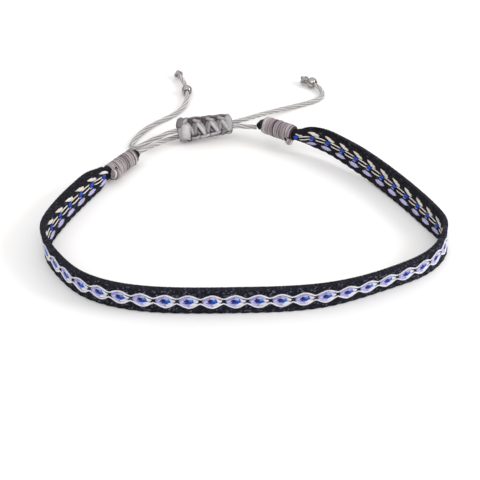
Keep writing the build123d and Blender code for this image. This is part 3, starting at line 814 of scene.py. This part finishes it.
# the slider's thread colour, and the painted shade colour that its strands, bed and turns behind are mixed
# towards
SLIDER_THREAD = np.array((0.56, 0.545, 0.56))
SLIDER_SHADE = np.array((0.085, 0.065, 0.075))
SLIDER_HEADING, SLIDER_SLOPE, SLIDER_LEAN = 7.4, 4.6, 36.0  # degrees; the lean is from upright
SLIDER_BED = (2.6, 1.3)  # half width and half thickness of the dark bed that the strands lie on
SLIDER_BACK = (2.35, 1.35)  # half width and half thickness of the turns behind
SLIDER_NARROWING = (-4.6, 0.018)  # where its width is the stated one, and its loss with each millimetre
SLIDER_KNOTS = (-1.6, 1.4, 3.9)  # tops of its knots, along it from its middle

# Strands on the slider's face: paleness, width, height, and points along, across and above the bed. Paleness
# is painted light and shade: it mixes the thread colour towards the shade colour, and 0 draws a dark line of
# painted shadow between strands.
SLIDER_KNOT = [
    (0.0, 1.0, 0.45, [(-1.45, 2.15, -0.1), (-1.4, 1.4, 0.1), (-1.35, 0.55, 0.15)]),
    (0.42, 0.62, 0.6, [(-1.9, 2.1, -0.15), (-0.9, 2.28, -0.05), (0.1, 2.32, 0.0), (0.95, 2.15, -0.15)]),
    (0.72, 0.9, 0.8, [(-0.8, 1.95, 0.0), (-0.2, 1.55, 0.3), (0.4, 1.25, 0.3), (0.75, 0.9, 0.2)]),
    (0.45, 0.8, 0.7, [(-0.55, 1.15, 0.1), (-0.9, 0.3, 0.15), (-1.2, -0.6, 0.15), (-1.4, -1.4, 0.05)]),
    (0.62, 0.85, 0.75, [(-0.1, 1.0, 0.2), (-0.35, 0.2, 0.3), (-0.6, -0.7, 0.3), (-0.85, -1.6, 0.15)]),
    (0.72, 0.75, 0.65, [(0.55, 1.05, 0.2), (1.0, 0.3, 0.2), (1.45, -0.5, 0.2), (1.8, -1.2, 0.1)]),
    (1.0, 0.9, 0.8, [(-0.15, 1.05, 0.3), (0.35, 0.35, 0.42), (0.85, -0.5, 0.42), (1.3, -1.35, 0.35),
                     (1.6, -1.95, 0.1)]),
    (0.5, 0.6, 0.55, [(-0.3, -0.6, 0.05), (0.05, -1.1, 0.15), (0.55, -1.6, 0.15)]),
    (0.0, 0.36, 0.4, [(0.02, 0.98, 0.44), (0.16, 0.68, 0.5)]),
]
SLIDER_REST = [
    (0.35, 1.8, 1.3, [(-4.6, 2.25, -0.05), (-5.1, 1.85, 0.1), (-5.45, 1.15, 0.1), (-5.55, 0.3, 0.0)]),
    (0.78, 1.5, 1.1, [(-5.35, 0.55, 0.0), (-5.45, -0.5, 0.1), (-5.35, -1.5, 0.05), (-5.05, -2.25, -0.15)]),
    (0.75, 0.9, 0.8, [(-4.8, 1.0, 0.25), (-4.35, 1.6, 0.3), (-3.8, 2.05, 0.0)]),
    (0.98, 2.3, 1.1, [(-3.95, 0.95, 0.1), (-4.2, 0.35, 0.35), (-4.4, -0.6, 0.48), (-4.5, -1.5, 0.42),
                      (-4.65, -2.2, 0.1)]),
    (0.8, 0.8, 0.7, [(-4.2, 1.45, 0.3), (-3.7, 0.85, 0.35), (-3.2, 0.05, 0.32), (-2.9, -0.9, 0.25),
                     (-2.85, -1.6, 0.1)]),
    (0.0, 0.3, 0.35, [(-4.2, 0.95, 0.55), (-3.85, 0.45, 0.6), (-3.62, -0.05, 0.55)]),
    (0.0, 1.3, 0.6, [(-4.25, -2.4, 0.05), (-3.75, -2.3, 0.15), (-3.25, -2.15, 0.05)]),
    (0.9, 0.55, 0.55, [(-3.95, -2.3, 0.32), (-3.72, -2.25, 0.38), (-3.55, -2.22, 0.3)]),
    (0.85, 0.62, 0.6, [(-3.3, -2.05, 0.15), (-2.6, -2.22, 0.2), (-1.85, -2.15, 0.2), (-1.3, -1.8, 0.1)]),
    (1.0, 0.7, 0.65, [(-1.35, -2.1, 0.1), (-0.6, -2.18, 0.25), (0.3, -2.12, 0.25), (1.0, -1.9, 0.1)]),
    (1.0, 0.7, 0.65, [(0.95, -2.0, 0.1), (1.8, -1.95, 0.25), (2.7, -1.85, 0.25), (3.5, -1.6, 0.1)]),
    (0.55, 0.7, 0.6, [(3.6, -1.9, 0.05), (4.3, -1.8, 0.2), (5.0, -1.5, 0.1)]),
    (0.0, 0.28, 0.3, [(-1.3, -1.72, 0.3), (-0.5, -1.78, 0.38), (0.2, -1.74, 0.35)]),
    (0.0, 0.28, 0.3, [(1.2, -1.58, 0.36), (2.1, -1.55, 0.42), (2.9, -1.45, 0.36)]),
    (0.0, 0.3, 0.3, [(4.62, 2.0, 0.1), (4.7, 1.3, 0.35), (4.6, 0.6, 0.4), (4.62, -0.1, 0.35)]),
    (0.82, 1.75, 1.3, [(5.0, 1.85, 0.0), (5.3, 1.2, 0.2), (5.42, 0.0, 0.25), (5.28, -1.1, 0.1),
                       (5.0, -1.75, -0.1)]),
    (0.6, 0.8, 0.7, [(4.1, 0.3, 0.25), (4.35, -0.6, 0.25), (4.5, -1.4, 0.1)]),
]


def make_slider():
    """Square knots tied round both cords: strands over a dark bed that is painted shade between them, and
    plain turns behind.
    """
    along = heading_vector(SLIDER_HEADING, SLIDER_SLOPE)
    side = unit(np.array((-along[1], along[0], 0.0)))
    up = np.cross(along, side)
    lean = math.radians(SLIDER_LEAN)
    wide = side * math.sin(lean) + up * math.cos(lean)
    face = np.cross(along, wide)
    middle = np.array(SLIDER_MIDDLE)
    half_width, half_depth = SLIDER_BED
    full_width_at, narrowing = SLIDER_NARROWING
    batch = Batch()

    def place(line):
        return middle + line[:, :1] * along + line[:, 1:2] * wide + line[:, 2:3] * face

    def strand(paleness, width, height, points):
        line = smooth(points, 8 * len(points))
        line[:, 1] *= 1.03 - (line[:, 0] - full_width_at) * narrowing
        round_over = np.sqrt(np.clip(1 - (line[:, 1] / half_width) ** 2, 0.04, 1))
        normal = unit(line[:, 1:2] / half_width ** 2 * wide + round_over[:, None] / half_depth * face)
        line[:, 2] += half_depth * round_over
        share = np.linspace(0, 1, len(line))
        taper = 0.6 + 0.4 * np.clip(np.sin(share * math.pi) * 3, 0, 1)
        # painted light and shade: each strand's paleness, dimmer towards its ends where it runs under its
        # neighbours
        lit = (paleness ** 1.4 * (0.45 + 0.55 * np.clip(np.sin(share * math.pi) * 1.6, 0, 1)))[:, None]
        tube(batch, place(line), width * taper, height * taper, normal, 12,
             SLIDER_THREAD * lit + SLIDER_SHADE * (1 - lit), chance.random() * 3, 0.75)

    for knot in SLIDER_KNOTS:
        for paleness, width, height, points in SLIDER_KNOT:
            shifted = np.array(points, float) + (knot, 0.0, 0.0)
            shifted[:, :2] += chance.normal(0, 0.035, (len(shifted), 2))
            strand(paleness * (1 + chance.normal(0, 0.04)) if paleness else 0.0, width, height, shifted)
    for paleness, width, height, points in SLIDER_REST:
        strand(paleness, width, height, points)
    # the turns behind
    back_width, back_depth = SLIDER_BACK
    for number in range(9):
        turn = np.linspace(-0.12, 1.12, 26) * math.pi
        reach = -5.2 + number * 1.3
        narrow = 1.0 - (reach - full_width_at) * narrowing
        line = np.stack([reach + 0.5 * np.sin(turn) * (-1) ** number, back_width * narrow * np.cos(turn),
                         -back_depth * np.sin(turn)], -1)
        normal = unit(np.cos(turn)[:, None] * wide / back_width - np.sin(turn)[:, None] * face / back_depth)
        # painted shade: each turn behind mixed about halfway towards the shade colour
        lit = 0.55 + 0.1 * math.cos(number * 2.3)
        tint = SLIDER_THREAD * lit + SLIDER_SHADE * (1 - lit)
        tube(batch, place(line), 1.35, 0.8, normal, 10, tint, number * 0.3, 0.6)
    # the bed, in the shade colour: painted shade seen between the strands
    core = np.array([(a, 0, 0) for a in (-6.0, -5.6, -4.5, 0, 4.5, 5.6, 6.0)], float)
    tube(batch, place(core), [1.6, 3.6, 4.9, 4.7, 4.2, 3.2, 1.2], [0.9, 2.0, 2.55, 2.55, 2.5, 2.0, 0.8],
         np.repeat(face[None], len(core), 0), 24, SLIDER_SHADE + 0.10 * SLIDER_THREAD, 0.5)
    batch.piece("slider_knots", slider_thread, "slider_cord", "sliding_knot")


# ---- Beads and stopper knots ----
def bead_material():
    material, tree, shader = principled("bead_metal", 0.16, 0.0, 1.0)
    noise = object_noise(tree, 900.0, 3.0)
    polish = node(tree, "MapRange", {"Value": noise, "To Min": 0.10, "To Max": 0.26})
    tree.links.new(polish.outputs["Result"], shader.inputs["Roughness"])
    colour = colour_ramp(tree, noise, (0.32, 0.30, 0.285), (0.46, 0.44, 0.425))
    tree.links.new(colour.outputs["Color"], shader.inputs["Base Color"])
    return material


bead_metal = bead_material()


BEAD_RADIUS = 1.3
BEAD_HOLE = 0.72  # radius
BEAD_RIM = 0.10  # rounding of the hole's rims


def make_bead(name, route, point):
    """A polished ball with a drilled hole whose rims are rounded."""
    middle = np.array(route[point])
    axis, side, other = axes_along(route[point - 1], route[point + 1])
    start = math.asin((BEAD_HOLE + BEAD_RIM) / BEAD_RADIUS)
    arc = np.linspace(start, math.pi - start, 19)
    profile = [(BEAD_RADIUS * math.cos(a), BEAD_RADIUS * math.sin(a)) for a in arc]
    inner = math.sqrt(BEAD_RADIUS ** 2 - (BEAD_HOLE + BEAD_RIM) ** 2) - 0.02
    profile += [(-inner, BEAD_HOLE + BEAD_RIM * 0.4), (-inner + 0.10, BEAD_HOLE), (0.0, BEAD_HOLE),
                (inner - 0.10, BEAD_HOLE), (inner, BEAD_HOLE + BEAD_RIM * 0.4)]
    sides = 40
    angle = np.arange(sides) * 2 * math.pi / sides
    out = side * np.cos(angle)[:, None] + other * np.sin(angle)[:, None]
    rings = np.concatenate([middle + axis * a + out * r for a, r in profile])
    batch = Batch()
    batch.add(rings, closed_ring_faces(len(profile), sides), (0.8, 0.8, 0.8), (0.0, 0.0, 0.0))
    return batch.piece(name + "_ball", bead_metal, "bead", name)


def make_stopper(name, route):
    """An overhand knot pulled tight at the end of a cord."""
    end = np.array(route[-1])
    axis, side, other = axes_along(route[-2], route[-1])
    middle = end + axis * 0.25
    turn = np.linspace(0, 2 * math.pi, 90)
    a = (np.sin(turn) + 2 * np.sin(2 * turn)) * 0.24
    b = (np.cos(turn) - 2 * np.cos(2 * turn)) * 0.235
    c = -np.sin(3 * turn) * 0.42
    path = middle + a[:, None] * axis + b[:, None] * side + c[:, None] * other
    batch = Batch()
    tube(batch, path, 0.86, 0.86, None, 12, (0.36, 0.34, 0.345), 0.4, 0.5)
    # a darker core among the loops: painted shade seen between them
    core = np.array([middle + axis * t for t in (-0.8, -0.4, 0.0, 0.4, 0.8)])
    tube(batch, core, [0.4, 1.1, 1.3, 1.1, 0.4], [0.4, 1.0, 1.2, 1.0, 0.4], None, 12,
         (0.24, 0.21, 0.22), 0.1)
    return batch.piece(name + "_tied", cord_thread, "cord", name)


# ---- Table, light and camera ----
TABLE_HALF = 3000.0
CAMERA_ELEVATION = 36.3  # degrees above the table
CAMERA_DISTANCE = 225.0  # from the target
CAMERA_TARGET = (-1.15, -9.3, 0.0)
CAMERA_LENS = 84.6
# Name, place, size, power and colour; each points at the middle of the loop
LAMPS = [
    ("key", (430.0, -80.0, 270.0), 200.0, 1.15, (1.0, 0.985, 0.97)),
    ("fill", (-50.0, -550.0, 600.0), 700.0, 1.5, (0.97, 0.98, 1.0)),
]


def make_table():
    material, tree, shader = principled("table_top", 0.6)
    colour = colour_ramp(tree, object_noise(tree, 40.0, 3.0), (0.84, 0.835, 0.83), (0.87, 0.865, 0.86))
    tree.links.new(colour.outputs["Color"], shader.inputs["Base Color"])
    mesh = bpy.data.meshes.new("table")
    half = TABLE_HALF * MM
    corners = [(-half, -half, 0), (half, -half, 0), (half, half, 0), (-half, half, 0)]
    mesh.from_pydata(corners, [], [(0, 1, 2, 3)])
    mesh.materials.append(material)
    table = bpy.data.objects.new("table", mesh)
    bpy.context.collection.objects.link(table)


def area_light(name, place, size, power, colour):
    place = Vector(place) * MM
    data = bpy.data.lights.new(name, "AREA")
    data.shape = "DISK"
    data.size = size * MM
    data.energy = power
    data.color = colour
    light = bpy.data.objects.new(name, data)
    light.location = place
    light.rotation_euler = (-place).to_track_quat("-Z", "Y").to_euler()
    bpy.context.collection.objects.link(light)


def make_world():
    """Light from above all round, darker near the horizon and below it."""
    world = bpy.data.worlds.new("studio")
    world.use_nodes = True
    tree = world.node_tree
    background = tree.nodes["Background"]
    background.inputs["Strength"].default_value = 1.14
    direction = node(tree, "TexCoord", {}).outputs["Generated"]
    parts = node(tree, "SeparateXYZ", {"Vector": direction})
    ramp = colour_ramp(tree, parts.outputs["Z"], (0.17, 0.155, 0.15), (1.0, 0.995, 0.99))
    ramp.color_ramp.elements[0].position = 0.05
    ramp.color_ramp.elements[1].position = 0.6
    tree.links.new(ramp.outputs["Color"], background.inputs["Color"])
    bpy.context.scene.world = world
    bpy.context.scene.view_settings.view_transform = "Standard"


def make_camera():
    data = bpy.data.cameras.new("photo_view")
    data.lens = CAMERA_LENS
    data.sensor_width = 36.0
    data.clip_start = 0.01
    data.clip_end = 10.0
    camera = bpy.data.objects.new("photo_view", data)
    elevation = math.radians(CAMERA_ELEVATION)
    back = Vector((0.0, -math.cos(elevation), math.sin(elevation))) * CAMERA_DISTANCE
    camera.location = (Vector(CAMERA_TARGET) + back) * MM
    camera.rotation_euler = (math.pi / 2 - elevation, 0.0, 0.0)
    bpy.context.collection.objects.link(camera)
    bpy.context.scene.camera = camera


make_world()
for lamp in LAMPS:
    area_light(*lamp)
make_camera()
make_table()
right_pieces = [make_bead("right_bead", RIGHT_CORD_ROUTE, RIGHT_BEAD_POINT),
                make_stopper("right_end_knot", RIGHT_CORD_ROUTE)]
left_pieces = [make_bead("left_bead", LEFT_CORD_ROUTE, LEFT_BEAD_POINT),
               make_stopper("left_end_knot", LEFT_CORD_ROUTE)]
make_cord("right_cord", RIGHT_CORD_ROUTE, 11.0)
make_cord("left_cord", LEFT_CORD_ROUTE, 14.0)
make_slider()
# pale thread colour, then the dark mauve that the turns are mixed towards, both as painted shade and as
# random patches
wound_end("left_wrap", LEFT_WRAP, LEFT_KNOT, (0.58, 0.54, 0.55), (0.17, 0.115, 0.13))
wound_end("right_wrap", RIGHT_WRAP, RIGHT_KNOT, (0.62, 0.575, 0.585), (0.19, 0.125, 0.155))
make_strap()
